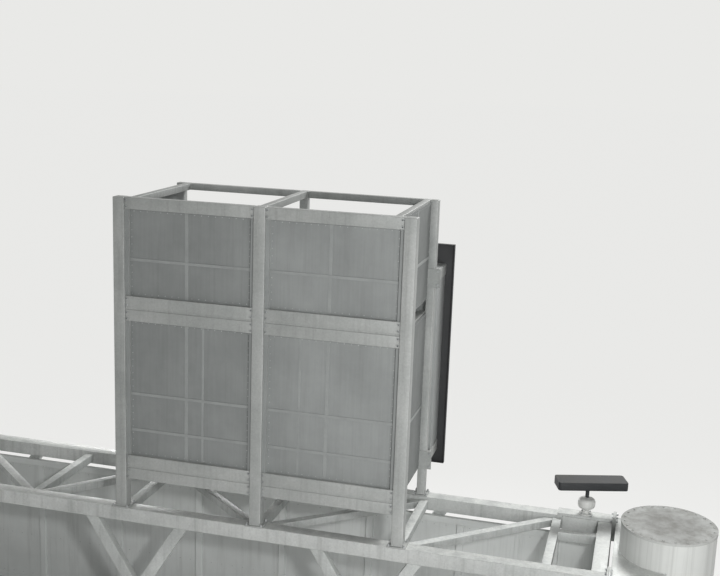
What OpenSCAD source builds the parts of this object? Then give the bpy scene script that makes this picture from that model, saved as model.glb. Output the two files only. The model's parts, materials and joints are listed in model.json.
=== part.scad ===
// Overhead sign gantry: two tubular columns carry an open lattice box girder,
// and a framed two-bay cage on the girder holds a sign enclosure that faces +Y.
// Units mm. X runs along the girder, +Y is the side the sign faces, +Z is up, Z = 0 is the ground.

/* [Girder] */
// clear height from the ground to the underside of the girder
headroom = 6100; // [5300:50:7500]
// distance between the centres of the top and bottom chords
girder_depth = 3000; // [2000:50:3400]
// distance between the centres of the near and far chords
girder_width = 2300; // [1800:50:2800]
// length of the girder over its end flanges
girder_length = 16360; // [15500:20:18000]
// side of the square chord tube
chord = 250; // [180:10:300]
// pitch of the three crossed braces along each side
brace_pitch = 4200; // [3600:50:4800]
// width of one pair of crossed braces at the chord centres
brace_spread = 1880; // [1400:20:2400]
// width of a crossed brace bar
brace_bar = 200; // [120:10:220]
// width of a plan brace bar
plan_bar = 150; // [100:10:180]
// size of the square flange plate at each chord end
flange = 400; // [330:10:460]
// thickness of the flange plates
flange_t = 30; // [20:5:50]
// distance of the last plan strut from the girder end
end_strut = 1000; // [600:20:1600]
// place of the plan strut beside the cage
mid_strut = -2100; // [-2700:20:-1200]
// offset of the plan bracing end stubs towards the far side
stub_y = 480; // [0:10:700]
// thickness of the bearing plates on the far chord ends
bearing_t = 45; // [20:5:80]

/* [Columns] */
// diameter of the column tube
column_d = 1550; // [1200:10:1700]
// rise of the column head above the girder top
column_rise = 530; // [200:10:900]
// thickness of the column cap plate
cap_t = 40; // [20:5:80]
// width of the crosshead beam between girder end and column
crosshead_w = 100; // [100:10:260]
// diameter of the base plate
base_d = 2250; // [2000:10:2600]
// thickness of the base plate
base_t = 70; // [40:5:100]
// pitch circle diameter of the anchor bolts
anchor_pcd = 1960; // [1880:10:2200]
// diameter of each anchor bolt hole
anchor_hole = 60; // [40:2:72]
// number of anchor bolts
anchor_count = 12; // [8:1:16]
// height of the base stiffener fins
fin_h = 320; // [180:10:500]

/* [Cage] */
// spacing of the cage posts along the girder
post_pitch = 2500; // [2000:50:2800]
// offset of the cage centre from the girder centre
cage_shift = 2240; // [1800:10:2500]
// side of the square near post
post = 200; // [140:10:240]
// side of the square far post
far_post = 150; // [120:10:200]
// inset of the outer far posts from the line of the near ones
far_inset = 90; // [60:5:150]
// height of the cage above the girder top
cage_h = 5510; // [4200:20:6200]
// how far a post's foot plate stands out
foot_out = 60; // [40:5:100]
// thickness of a post's foot plate
foot_t = 25; // [15:5:40]
// depth of the horizontal face rails
rail = 200; // [120:10:240]
// gap between the two rails of a pair
rail_gap = 35; // [20:5:80]
// height of the lowest rail above the girder top
sill_h = 540; // [250:10:800]
// height of the middle rail pair above the girder top
mid_h = 3390; // [2400:20:3900]
// thickness of the face panels
panel_t = 30; // [15:5:60]
// width of the upright stile beside each post
stile = 60; // [40:5:100]
// side of the square bars of the open cage top and sides
cage_bar = 120; // [80:5:160]
// thickness of the side sheets
side_t = 20; // [10:2:40]
// distance of the side brace end below the cage top
brace_drop = 420; // [200:20:800]

/* [Sign] */
// width of the sign enclosure
sign_w = 5000; // [4200:20:5600]
// height of the sign enclosure
sign_h = 3630; // [2800:10:3900]
// depth of the sign enclosure
sign_depth = 600; // [400:10:800]
// height of the enclosure above the girder top
sign_base = 600; // [450:10:1200]
// margin of the dark surround board at each side
board_side = 160; // [60:5:200]
// margin of the surround board above the enclosure
board_top = 360; // [100:10:400]
// margin of the surround board below the enclosure
board_low = 260; // [100:10:300]
// thickness of the surround board
board_t = 45; // [30:5:80]
// depth of the sign support rails
sign_rail = 175; // [100:5:220]
// height of the sign support rails
support_h = 200; // [120:10:260]
// height of the upper support rail above the enclosure foot
support_rise = 3420; // [1500:20:3600]
// thickness of the side brackets
bracket_t = 12; // [8:2:40]
// width of the dark margin around the display recess
bezel = 150; // [60:10:300]

/* [Walkway] */
// thickness of the walkway deck
deck_t = 50; // [30:5:80]
// height of the far cladding above the deck
cladding_h = 2090; // [1200:10:2200]
// pitch of the cladding ribs
rib_pitch = 1720; // [1400:20:2000]
// distance of the first cladding rib from the end frame
rib_start = 850; // [300:10:1500]
// width of a cladding rib
rib_w = 150; // [60:10:200]
// height of the near guard rail above the deck
guard_h = 1100; // [1000:20:1250]

/* [Detector] */
// length of the detector bar
slab_w = 1250; // [600:10:1600]
// height of the detector bar
slab_h = 150; // [80:10:300]
// depth of the detector bar
slab_d = 400; // [200:10:600]
// offset of the detector bar from its stand
slab_off = 50; // [-100:10:150]
// turn of the detector bar about the vertical
slab_turn = 18; // [-30:1:30]
// distance of the detector stand from the girder end
detector_inset = 510; // [300:10:1500]
// height of the white mount above the chord
mount_rise = 140; // [80:10:400]
// size of the white mount
mount_d = 330; // [150:10:450]
// height of the detector bar above the chord
slab_rise = 560; // [300:10:900]

/* [Hidden] */
$fn = 64;
girder_top = headroom + girder_depth + chord;
top_z = girder_top - chord / 2;
low_z = headroom + chord / 2;
side_y = girder_width / 2;
half_l = girder_length / 2;
end_x = half_l - flange_t - chord / 2;
column_x = half_l + flange_t + crosshead_w + column_d / 2 - 10;
column_top = girder_top + column_rise;
y_mid = (side_y + far_post / 2 + sign_rail + sign_depth + board_t - side_y - flange / 2) / 2;
cage_x = [for (i = [-1:1]) cage_shift + i * post_pitch];
far_x = [cage_x[0] + far_inset, cage_x[1], cage_x[2] - far_inset];
last_strut = half_l - end_strut;
strut_x = [-last_strut, (mid_strut - last_strut) / 2, mid_strut, cage_x[0], cage_x[1], cage_x[2], last_strut];
side_x = post_pitch - far_inset - far_post / 2 - cage_bar / 2;
frame_back = -side_y + post / 2 - 30;
cage_top = girder_top + cage_h;
deck_z = low_z + plan_bar / 2;
face_y = -side_y;
sign_y = side_y + far_post / 2 + sign_rail;
detector_x = half_l - detector_inset;

// moves a node so that the overall box is centred on Y = 0
module place() { translate([0, -y_mid, 0]) children(); }

// square bar from a to b lying in a plane of constant y
module bar_xz(a, b, w, t) {
    d = b - a;
    translate([(a[0] + b[0]) / 2, a[1], (a[2] + b[2]) / 2])
        rotate([0, -atan2(d[2], d[0]), 0]) cube([norm(d), t, w], center = true);
}

// bar from a to b lying in a plane of constant z
module bar_xy(a, b, w, t) {
    d = b - a;
    translate([(a[0] + b[0]) / 2, (a[1] + b[1]) / 2, a[2]])
        rotate([0, 0, atan2(d[1], d[0])]) cube([norm(d), w, t], center = true);
}

// bar from a to b lying in a plane of constant x
module bar_yz(a, b, w, t) {
    d = b - a;
    translate([a[0], (a[1] + b[1]) / 2, (a[2] + b[2]) / 2])
        rotate([atan2(d[2], d[1]), 0, 0]) cube([t, norm(d), w], center = true);
}

module box(x0, x1, y0, y1, z0, z1) {
    translate([x0, y0, z0]) cube([x1 - x0, y1 - y0, z1 - z0]);
}

module base(side) {
    color([0.55, 0.56, 0.57]) translate([side * column_x, 0, 0]) {
        difference() {
            cylinder(h = base_t, d = base_d);
            for (i = [0:anchor_count - 1]) rotate(i * 360 / anchor_count)
                translate([anchor_pcd / 2, 0, -1]) cylinder(h = base_t + 2, d = anchor_hole, $fn = 24);
        }
        for (i = [0:anchor_count - 1]) rotate((i + 0.5) * 360 / anchor_count)
            rotate([90, 0, 0]) translate([0, 0, -12]) linear_extrude(24)
                polygon([[column_d / 2, base_t - 5], [base_d / 2 - 20, base_t - 5],
                    [base_d / 2 - 20, base_t + 40], [column_d / 2 + 40, base_t + fin_h],
                    [column_d / 2, base_t + fin_h]]);
    }
}

module column(side) {
    color([0.62, 0.63, 0.64]) translate([side * column_x, 0, base_t])
        cylinder(h = column_top - cap_t - base_t, d = column_d, $fn = 72);
}

module cap(side) {
    color([0.5, 0.51, 0.52]) translate([side * column_x, 0, column_top - cap_t])
        cylinder(h = cap_t, d = column_d + 16, $fn = 72);
}

// transverse beam between the chord flanges of one level, scribed to the column
module crosshead(side, z) {
    x1 = half_l + flange_t;
    x2 = x1 + crosshead_w;
    w = side_y + chord / 2;
    color([0.6, 0.61, 0.62]) scale([side, 1, 1]) difference() {
        union() {
            box(x1, x2, -w, w, z - chord / 2, z + chord / 2);
            for (s = [-1, 1]) box(half_l, x1, s * side_y - flange / 2, s * side_y + flange / 2,
                z - flange / 2, z + flange / 2);
            for (dz = [-chord / 2, chord / 2 - 25]) translate([0, 0, z + dz]) linear_extrude(25)
                polygon([[x2, -w], [x2, w], [column_x, column_d / 2 + 60], [column_x, -column_d / 2 - 60]]);
            box(x1, column_x, -20, 20, z - chord / 2, z + chord / 2);
        }
        translate([column_x, 0, 0]) cylinder(h = column_top, d = column_d, $fn = 72);
    }
}

module chord_tube(y, z) {
    color([0.66, 0.67, 0.68]) {
        box(-half_l + flange_t, half_l - flange_t, y - chord / 2, y + chord / 2,
            z - chord / 2, z + chord / 2);
        for (s = [-1, 1]) translate([s * (half_l - flange_t / 2), y, z])
            cube([flange_t, flange, flange], center = true);
    }
}

// far top chord with a bearing plate and an inner gusset at each end
module far_top() {
    chord_tube(side_y, top_z);
    x = last_strut;
    color([0.66, 0.67, 0.68]) for (s = [-1, 1]) scale([s, 1, 1]) {
        box(x, half_l - flange_t, side_y - chord / 2, side_y + chord / 2, girder_top - 5, girder_top + bearing_t);
        box(x + plan_bar / 2 + 20, end_x - chord / 2 - 20, side_y - chord / 2 - 35, side_y - chord / 2 + 5,
            girder_top - 1.5 * chord, girder_top);
    }
}

// posts, three beams and four diagonals that close an end of the girder
module end_frame(side) {
    x = side * end_x;
    h = chord / 2;
    b = h - 5;
    mid_z = (low_z + top_z) / 2;
    color([0.64, 0.65, 0.66]) {
        for (s = [-1, 1]) box(x - h, x + h, s * side_y - h, s * side_y + h, low_z + h, top_z - h);
        for (z = [low_z, top_z, mid_z]) box(x - b, x + b, -side_y + h, side_y - h, z - b, z + b);
        for (s = [-1, 1], z = [low_z, top_z])
            bar_yz([x, s * (side_y - h - 120), z], [x, s * 60, mid_z], plan_bar, plan_bar);
    }
}

// one pair of crossed braces between the chords of a side
module cross_brace(cx, y) {
    h = brace_spread / 2;
    t = brace_bar * 0.75;
    color([0.66, 0.67, 0.68]) intersection() {
        union() {
            bar_xz([cx - h, y, top_z], [cx + h, y, low_z], brace_bar, t);
            bar_xz([cx - h, y, low_z], [cx + h, y, top_z], brace_bar, t);
        }
        box(cx - h - 400, cx + h + 400, y - chord, y + chord, low_z + chord / 2, top_z - chord / 2);
    }
}

// seven cross struts with a diagonal in each of the six bays
module plan_lattice(z) {
    i = side_y - chord / 2;
    e = end_x - chord / 2;
    color([0.65, 0.66, 0.67]) {
        for (x = strut_x) box(x - plan_bar / 2, x + plan_bar / 2, -i, i, z - plan_bar / 2, z + plan_bar / 2);
        intersection() {
            union() {
                for (k = [0:5]) {
                    s = k == 1 || k == 3 ? 1 : -1;
                    bar_xy([strut_x[k], s * (i + 60), z], [strut_x[k + 1], -s * (i + 60), z], plan_bar, plan_bar - 20);
                }
                for (s = [-1, 1]) scale([s, 1, 1])
                    box(last_strut, e, stub_y - plan_bar / 2, stub_y + plan_bar / 2, z - plan_bar / 2, z + plan_bar / 2);
            }
            box(-e, e, -i, i, z - chord, z + chord);
        }
    }
}

// post of side w on a foot plate that stands out all round
module post_at(x, y, w) {
    f = w / 2 + foot_out;
    color([0.68, 0.69, 0.7]) {
        box(x - w / 2, x + w / 2, y - w / 2, y + w / 2, girder_top + foot_t, cage_top);
        box(x - f, x + f, y - f, y + f, girder_top, girder_top + foot_t);
    }
}

// ladder of stiles and rails that fills one bay of the near face, with a web behind each rail gap
module face_frame(k) {
    x0 = cage_x[k] + post / 2;
    x1 = cage_x[k + 1] - post / 2;
    y0 = face_y - post / 2 + 30;
    y1 = frame_back;
    color([0.7, 0.71, 0.72]) {
        for (z = [sill_h, sill_h + rail + rail_gap, mid_h, mid_h + rail + rail_gap, cage_h - rail])
            box(x0, x1, y0, y1, girder_top + z, girder_top + z + rail);
        for (z = [sill_h + rail, mid_h + rail])
            box(x0, x1, face_y + 10, face_y + 10 + panel_t, girder_top + z, girder_top + z + rail_gap);
        box(x0, x0 + stile, y0 + 30, y1, girder_top + sill_h, cage_top);
        box(x1 - stile, x1, y0 + 30, y1, girder_top + sill_h, cage_top);
    }
}

module face_panel(k, z0, z1) {
    color([0.5, 0.51, 0.52]) box(cage_x[k] + post / 2 + stile, cage_x[k + 1] - post / 2 - stile,
        face_y + 10, face_y + 10 + panel_t, girder_top + z0, girder_top + z1);
}

module lower_panel(k) { face_panel(k, sill_h + 2 * rail + rail_gap, mid_h); }
module upper_panel(k) { face_panel(k, mid_h + 2 * rail + rail_gap, cage_h - rail); }

// open top of the cage: far rail and three cross members
module top_frame() {
    z0 = cage_top - cage_bar;
    color([0.6, 0.61, 0.62]) {
        box(cage_shift - cage_bar / 2, cage_shift + cage_bar / 2, -side_y + post / 2, side_y - far_post / 2, z0, cage_top);
        for (x = [cage_shift - side_x, cage_shift + side_x])
            box(x - cage_bar / 2, x + cage_bar / 2, frame_back, side_y - cage_bar / 2, z0, cage_top);
        for (k = [0, 1]) box(far_x[k] + far_post / 2, far_x[k + 1] - far_post / 2,
            side_y - cage_bar / 2, side_y + cage_bar / 2, z0, cage_top);
    }
}

// heights of the cross bars of a side: sill, two at mid height, and the end of the upper brace
side_z = [sill_h + cage_bar / 2, mid_h + cage_bar / 2, mid_h + 2 * rail + rail_gap - cage_bar / 2,
    cage_h - brace_drop];

// cross bars and two sloping braces behind the sheets of a side
module side_frame(side) {
    x = cage_shift + side * side_x;
    i = -frame_back;
    j = side_y - far_post / 2 + 20;
    z = [for (h = side_z) girder_top + h];
    b = cage_bar;
    color([0.6, 0.61, 0.62]) {
        for (k = [0:2]) box(x - b / 2, x + b / 2, -i, j, z[k] - b / 2, z[k] + b / 2);
        intersection() {
            union() {
                bar_yz([x, -i, z[0]], [x, j, z[1]], b, b - 30);
                bar_yz([x, -i, z[3]], [x, j, z[2]], b, b - 30);
            }
            box(x - b, x + b, -i, j, girder_top, cage_top);
        }
        box(x - b / 2 + 10, x + b / 2 - 10, -i, -i + 70, z[1], z[2]);
    }
}

// lower and upper sheet of a side, on the outer face of its cross bars and short of the far post
module side_sheets(side) {
    i = -frame_back;
    j = side_y - far_post / 2 - 10;
    x = side_x + cage_bar / 2;
    color([0.5, 0.51, 0.52]) translate([cage_shift, 0, girder_top]) scale([side, 1, 1]) {
        box(x, x + side_t, -i, j, sill_h, side_z[1] + cage_bar / 2 - 30);
        box(x, x + side_t, -i, j, side_z[2] - cage_bar / 2 + 30, cage_h - 40);
    }
}

// pair of rails between the far posts, level with the near sill
module far_sill_rails() {
    color([0.62, 0.63, 0.64]) for (k = [0, 1]) box(far_x[k] + far_post / 2, far_x[k + 1] - far_post / 2,
        side_y - far_post / 2 + 20, side_y + far_post / 2 - 20, girder_top + sill_h, girder_top + sill_h + rail);
}

// two rails on the far posts, each with brackets that grip the sides of the enclosure
module support_rails() {
    x = sign_w / 2;
    color([0.6, 0.61, 0.62]) {
        for (z = [sign_base, sign_base + support_rise]) translate([cage_shift, 0, girder_top]) {
            box(-x, x, side_y + far_post / 2, sign_y, z, z + support_h);
            for (s = [-1, 1]) scale([s, 1, 1]) box(x, x + bracket_t, sign_y - sign_rail, sign_y + sign_depth, z, z + support_h);
            for (s = [-1, 1]) scale([s, 1, 1]) box(x - bracket_t, x + 1, sign_y - sign_rail, sign_y, z, z + support_h);
        }
    }
}

module enclosure() {
    color([0.58, 0.59, 0.6]) box(cage_shift - sign_w / 2, cage_shift + sign_w / 2,
        sign_y, sign_y + sign_depth, girder_top + sign_base, girder_top + sign_base + sign_h);
}

// dark board around and behind the display area
module board() {
    x = sign_w / 2;
    y = sign_y + sign_depth;
    z0 = girder_top + sign_base;
    color([0.05, 0.05, 0.055]) difference() {
        box(cage_shift - x - board_side, cage_shift + x + board_side, y, y + board_t,
            z0 - board_low, z0 + sign_h + board_top);
        box(cage_shift - x + bezel, cage_shift + x - bezel, y + board_t - 20, y + board_t + 20,
            z0 + bezel, z0 + sign_h - bezel);
    }
}

module walkway() {
    color([0.45, 0.46, 0.47]) box(-end_x + chord / 2 + 10, end_x - chord / 2 - 10,
        -side_y + chord / 2 + 10, side_y - chord / 2 - 10, deck_z, deck_z + deck_t);
}

module cladding() {
    y0 = side_y - chord / 2 - 70;
    x1 = end_x - chord / 2 - 20;
    first = end_x - rib_start;
    color([0.62, 0.63, 0.64]) {
        box(-x1, x1, y0, y0 + 20, deck_z + deck_t, deck_z + deck_t + cladding_h);
        for (k = [0:9]) if (first - k * rib_pitch > rib_w - x1) translate([first - k * rib_pitch, y0, deck_z + deck_t])
            linear_extrude(cladding_h) polygon([[-rib_w / 2, 20], [-rib_w / 2, 0], [-rib_w / 2 + 20, -40],
                [rib_w / 2 - 20, -40], [rib_w / 2, 0], [rib_w / 2, 20]]);
        box(-x1, x1, y0 - 30, y0 + 50, deck_z + deck_t + cladding_h, deck_z + deck_t + cladding_h + 60);
    }
}

module guard() {
    y0 = -side_y + chord / 2 + 20;
    x1 = end_x - chord / 2 - 40;
    z0 = deck_z + deck_t;
    color([0.66, 0.67, 0.68]) {
        for (z = [guard_h - 50, guard_h / 2]) box(-x1, x1, y0, y0 + 50, z0 + z, z0 + z + 50);
        box(-x1, x1, y0, y0 + 12, z0, z0 + 150);
        for (k = [0:8]) box(-x1 + k * (2 * x1 - 50) / 8, -x1 + k * (2 * x1 - 50) / 8 + 50,
            y0, y0 + 50, z0, z0 + guard_h);
    }
}

// foot, stalk, rounded white mount and neck
module detector_stand() {
    z = girder_top + bearing_t;
    zm = girder_top + mount_rise + mount_d / 3;
    color([0.75, 0.76, 0.77]) translate([detector_x, side_y, 0]) {
        box(-120, 120, -100, 100, z, z + 20);
        translate([0, 0, z + 15]) cylinder(h = zm - z - 15, d = 90, $fn = 32);
        intersection() {
            translate([0, 0, zm]) scale([1, 0.9, 0.7]) sphere(d = mount_d, $fn = 40);
            box(-mount_d, mount_d, -mount_d, mount_d, girder_top + mount_rise, girder_top + slab_rise);
        }
        translate([0, 0, zm]) cylinder(h = girder_top + slab_rise - zm, d = 70, $fn = 32);
    }
}

// level bar with rounded ends, turned to look along the road
module slab() {
    r = slab_d / 8;
    color([0.16, 0.165, 0.17]) translate([detector_x + slab_off, side_y, girder_top + slab_rise]) rotate(slab_turn)
        linear_extrude(slab_h) offset(r = r, $fn = 32) square([slab_w - 2 * r, slab_d - 2 * r], center = true);
}

place() base(1);  // base_right
place() base(-1);  // base_left
place() column(1);  // column_right
place() column(-1);  // column_left
place() cap(1);  // cap_right
place() cap(-1);  // cap_left
place() crosshead(1, top_z);  // upper_crosshead_right
place() crosshead(-1, top_z);  // upper_crosshead_left
place() crosshead(1, low_z);  // lower_crosshead_right
place() crosshead(-1, low_z);  // lower_crosshead_left
place() chord_tube(-side_y, top_z);  // near_top_chord
place() far_top();  // far_top_chord
place() chord_tube(-side_y, low_z);  // near_low_chord
place() chord_tube(side_y, low_z);  // far_low_chord
place() end_frame(1);  // end_frame_right
place() end_frame(-1);  // end_frame_left
place() cross_brace(brace_pitch, -side_y);  // near_brace_right
place() cross_brace(0, -side_y);  // near_brace_mid
place() cross_brace(-brace_pitch, -side_y);  // near_brace_left
place() cross_brace(brace_pitch, side_y);  // far_brace_right
place() cross_brace(0, side_y);  // far_brace_mid
place() cross_brace(-brace_pitch, side_y);  // far_brace_left
place() plan_lattice(top_z);  // top_bracing
place() plan_lattice(low_z);  // floor_bracing
place() walkway();  // deck
place() cladding();  // far_cladding
place() guard();  // near_guard
place() post_at(cage_x[0], -side_y, post);  // near_post_left
place() post_at(cage_x[1], -side_y, post);  // near_post_mid
place() post_at(cage_x[2], -side_y, post);  // near_post_right
place() post_at(far_x[0], side_y, far_post);  // far_post_left
place() post_at(far_x[1], side_y, far_post);  // far_post_mid
place() post_at(far_x[2], side_y, far_post);  // far_post_right
place() face_frame(0);  // face_frame_left
place() face_frame(1);  // face_frame_right
place() upper_panel(0);  // upper_panel_left
place() upper_panel(1);  // upper_panel_right
place() lower_panel(0);  // lower_panel_left
place() lower_panel(1);  // lower_panel_right
place() far_sill_rails();  // far_sill
place() top_frame();  // cage_top
place() side_frame(-1);  // side_frame_left
place() side_frame(1);  // side_frame_right
place() side_sheets(-1);  // side_sheets_left
place() side_sheets(1);  // side_sheets_right
place() support_rails();  // sign_rails
place() enclosure();  // sign_enclosure
place() board();  // display_board
place() detector_stand();  // detector_post
place() slab();  // detector_slab
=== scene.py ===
# Looks of an overhead sign gantry: weathered galvanised steel, sheet panels, painted columns.
# Metres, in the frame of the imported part: X along the girder, +Y the side the sign faces, Z up.
import json
import math

import bmesh
import bpy
from mathutils import Matrix, Vector


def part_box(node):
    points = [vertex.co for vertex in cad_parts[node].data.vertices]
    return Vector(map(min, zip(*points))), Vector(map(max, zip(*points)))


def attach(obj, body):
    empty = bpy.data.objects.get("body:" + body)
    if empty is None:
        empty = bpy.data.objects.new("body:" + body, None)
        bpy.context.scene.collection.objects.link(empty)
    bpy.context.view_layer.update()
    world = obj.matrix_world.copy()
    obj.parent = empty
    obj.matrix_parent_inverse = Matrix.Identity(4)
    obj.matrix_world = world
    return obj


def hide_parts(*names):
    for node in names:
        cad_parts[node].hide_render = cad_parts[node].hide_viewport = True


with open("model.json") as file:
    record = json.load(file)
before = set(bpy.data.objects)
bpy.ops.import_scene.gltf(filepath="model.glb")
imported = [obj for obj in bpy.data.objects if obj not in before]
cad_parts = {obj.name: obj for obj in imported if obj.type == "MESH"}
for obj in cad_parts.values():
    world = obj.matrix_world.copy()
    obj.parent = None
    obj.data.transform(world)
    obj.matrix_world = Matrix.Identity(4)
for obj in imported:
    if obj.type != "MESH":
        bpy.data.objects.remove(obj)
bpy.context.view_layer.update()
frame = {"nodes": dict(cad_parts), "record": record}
nodes = frame["nodes"]
collection = bpy.context.scene.collection


# small tools

def to_linear(code):
    """sRGB hex to the linear colour that a socket takes"""
    values = [int(code[i:i + 2], 16) / 255 for i in (1, 3, 5)]
    return [v / 12.92 if v <= 0.04045 else ((v + 0.055) / 1.055) ** 2.4 for v in values] + [1.0]


def add(tree, kind, sockets=None, **settings):
    """adds a node with its settings; a socket gets a value or the output that feeds it"""
    made = tree.nodes.new(kind)
    for key, value in settings.items():
        setattr(made, key, value)
    for key, value in (sockets or {}).items():
        if isinstance(value, bpy.types.NodeSocket):
            tree.links.new(value, made.inputs[key])
        else:
            made.inputs[key].default_value = value
    return made


def centre(node_name):
    low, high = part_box(node_name)
    return (low + high) / 2


# finishes

# run-off dirt, a water stain, and the painted highlight on the cladding's proud ribs
DIRT, STAIN, RIB_HIGHLIGHT = "#4B4A47", "#72726D", "#D2D5D3"


def weathered(name, light, dark, metallic, rough, cloud=0.8, cell=0.0, streak=0.2, grain=(0, 0, 0),
              dust=0.25, up_face_tone="#6F6C64", peel=0.0, wave=0.0, tint=None, reach=0.4):
    """a sheet or section that has stood outdoors: cloudy tone, run-off streaks, dust on what faces up; a pale
    tone there also paints light from above
    """
    mat = bpy.data.materials.new(name)
    mat.use_nodes = True
    t = mat.node_tree
    t.nodes.clear()
    place = add(t, "ShaderNodeTexCoord").outputs["Object"]
    normal = add(t, "ShaderNodeNewGeometry").outputs["Normal"]
    up = add(t, "ShaderNodeSeparateXYZ", {0: normal}).outputs["Z"]
    clouds = add(t, "ShaderNodeTexNoise", {"Vector": place, "Scale": cloud, "Detail": 7.0, "Roughness": 0.62})
    spread = add(t, "ShaderNodeMapRange",
                 {"Value": clouds.outputs["Fac"], "From Min": 0.32, "From Max": 0.68})
    tone = add(t, "ShaderNodeMix", {"Factor": spread.outputs[0], "A": to_linear(dark), "B": to_linear(light)},
               data_type="RGBA").outputs["Result"]
    # run-off: noise drawn out along Z, on upright faces only
    drawn = add(t, "ShaderNodeMapping", {"Vector": place, "Scale": (9.0, 9.0, reach)})
    runs = add(t, "ShaderNodeTexNoise",
               {"Vector": drawn.outputs[0], "Scale": 1.0, "Detail": 5.0, "Roughness": 0.7})
    runs = add(t, "ShaderNodeMapRange",
               {"Value": runs.outputs["Fac"], "From Min": 0.5, "From Max": 0.75, "To Max": streak})
    flat = add(t, "ShaderNodeMath", {0: up}, operation="ABSOLUTE")
    upright = add(t, "ShaderNodeMapRange",
                  {"Value": flat.outputs[0], "From Min": 0.3, "From Max": 0.6, "To Min": 1.0, "To Max": 0.0})
    runs = add(t, "ShaderNodeMath", {0: runs.outputs[0], 1: upright.outputs[0]}, operation="MULTIPLY")
    tone = add(t, "ShaderNodeMix", {"Factor": runs.outputs[0], "A": tone, "B": to_linear(DIRT)},
               data_type="RGBA").outputs["Result"]
    # dust and lichen on faces that look up; given a pale tone this is also painted light from above on them
    patches = add(t, "ShaderNodeTexNoise", {"Vector": place, "Scale": 5.0, "Detail": 8.0, "Roughness": 0.7})
    patches = add(t, "ShaderNodeMapRange",
                  {"Value": patches.outputs["Fac"], "From Min": 0.4, "From Max": 0.65, "To Max": dust})
    facing = add(t, "ShaderNodeMapRange", {"Value": up, "From Min": 0.5, "From Max": 0.9})
    up_face_layer = add(t, "ShaderNodeMath", {0: patches.outputs[0], 1: facing.outputs[0]}, operation="MULTIPLY")
    tone = add(t, "ShaderNodeMix", {"Factor": up_face_layer.outputs[0], "A": tone, "B": to_linear(up_face_tone)},
               data_type="RGBA").outputs["Result"]
    if cell:
        # zinc crystals, drawn coarser than life so that they show
        crystal = add(t, "ShaderNodeTexVoronoi", {"Vector": place, "Scale": 1 / cell, "Randomness": 1.0})
        grey = add(t, "ShaderNodeRGBToBW", {0: crystal.outputs["Color"]})
        shade = add(t, "ShaderNodeMapRange", {"Value": grey.outputs[0], "To Min": 0.93, "To Max": 1.07})
        tone = add(t, "ShaderNodeVectorMath", {0: tone, 1: shade.outputs[0]}, operation="MULTIPLY").outputs[0]
    if any(grain):
        # rolling marks of the sheet, drawn along one axis
        lines = add(t, "ShaderNodeMapping", {"Vector": place, "Scale": grain})
        lines = add(t, "ShaderNodeTexNoise", {"Vector": lines.outputs[0], "Scale": 1.0, "Detail": 3.0})
        shade = add(t, "ShaderNodeMapRange", {"Value": lines.outputs["Fac"], "To Min": 0.93, "To Max": 1.07})
        tone = add(t, "ShaderNodeVectorMath", {0: tone, 1: shade.outputs[0]}, operation="MULTIPLY").outputs[0]
    if tint:
        tone = tint(t, place, tone)
    # dusty patches are duller
    gloss = add(t, "ShaderNodeMapRange",
                {"Value": patches.outputs[0], "To Min": rough, "To Max": rough + 0.3})
    shader = add(t, "ShaderNodeBsdfPrincipled",
                 {"Base Color": tone, "Metallic": metallic, "Roughness": gloss.outputs[0]})
    # unevenness of the coat, drawn about 11 mm coarse so that it shows
    fine = add(t, "ShaderNodeTexNoise", {"Vector": place, "Scale": 90.0, "Detail": 4.0})
    bump = add(t, "ShaderNodeBump", {"Height": fine.outputs["Fac"], "Strength": 0.25, "Distance": 0.0015})
    if cell:
        bump = add(t, "ShaderNodeBump", {"Height": crystal.outputs["Distance"], "Strength": 0.2,
                                         "Distance": 0.001, "Normal": bump.outputs[0]})
    # orange peel of paint, and the buckles of thin sheet, which never lies quite flat between its fixings
    for across, detail, strength, deep in ((peel, 2.0, 0.3, 0.001), (wave, 1.0, 0.6, 0.02)):
        if across:
            swell = add(t, "ShaderNodeTexNoise", {"Vector": place, "Scale": 1 / across, "Detail": detail})
            bump = add(t, "ShaderNodeBump", {"Height": swell.outputs["Fac"], "Strength": strength,
                                             "Distance": deep, "Normal": bump.outputs[0]})
    t.links.new(bump.outputs[0], shader.inputs["Normal"])
    add(t, "ShaderNodeOutputMaterial", {"Surface": shader.outputs[0]})
    return mat


def worn_lid(t, place, tone):
    """lid of a column: clean rim, standing water has darkened the middle"""
    side = add(t, "ShaderNodeVectorMath", {0: place}, operation="ABSOLUTE")
    parts = add(t, "ShaderNodeSeparateXYZ", {0: place})
    away = add(t, "ShaderNodeSeparateXYZ", {0: side.outputs[0]})
    x = add(t, "ShaderNodeMath", {0: away.outputs["X"], 1: column_x}, operation="SUBTRACT")
    y = add(t, "ShaderNodeMath", {0: parts.outputs["Y"], 1: column_y}, operation="SUBTRACT")
    flat = add(t, "ShaderNodeCombineXYZ", {"X": x.outputs[0], "Y": y.outputs[0]})
    reach = add(t, "ShaderNodeVectorMath", {0: flat.outputs[0]}, operation="LENGTH")
    blur = add(t, "ShaderNodeTexNoise", {"Vector": place, "Scale": 3.0, "Detail": 5.0})
    reach = add(t, "ShaderNodeMath",
                {0: blur.outputs["Fac"], 1: 0.35, 2: reach.outputs["Value"]}, operation="MULTIPLY_ADD")
    pool = add(t, "ShaderNodeMapRange",
               {"Value": reach.outputs[0], "From Min": 0.52, "From Max": 0.86, "To Min": 0.45, "To Max": 0.0})
    return add(t, "ShaderNodeMix", {"Factor": pool.outputs[0], "A": tone, "B": to_linear(STAIN)},
               data_type="RGBA").outputs["Result"]


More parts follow.
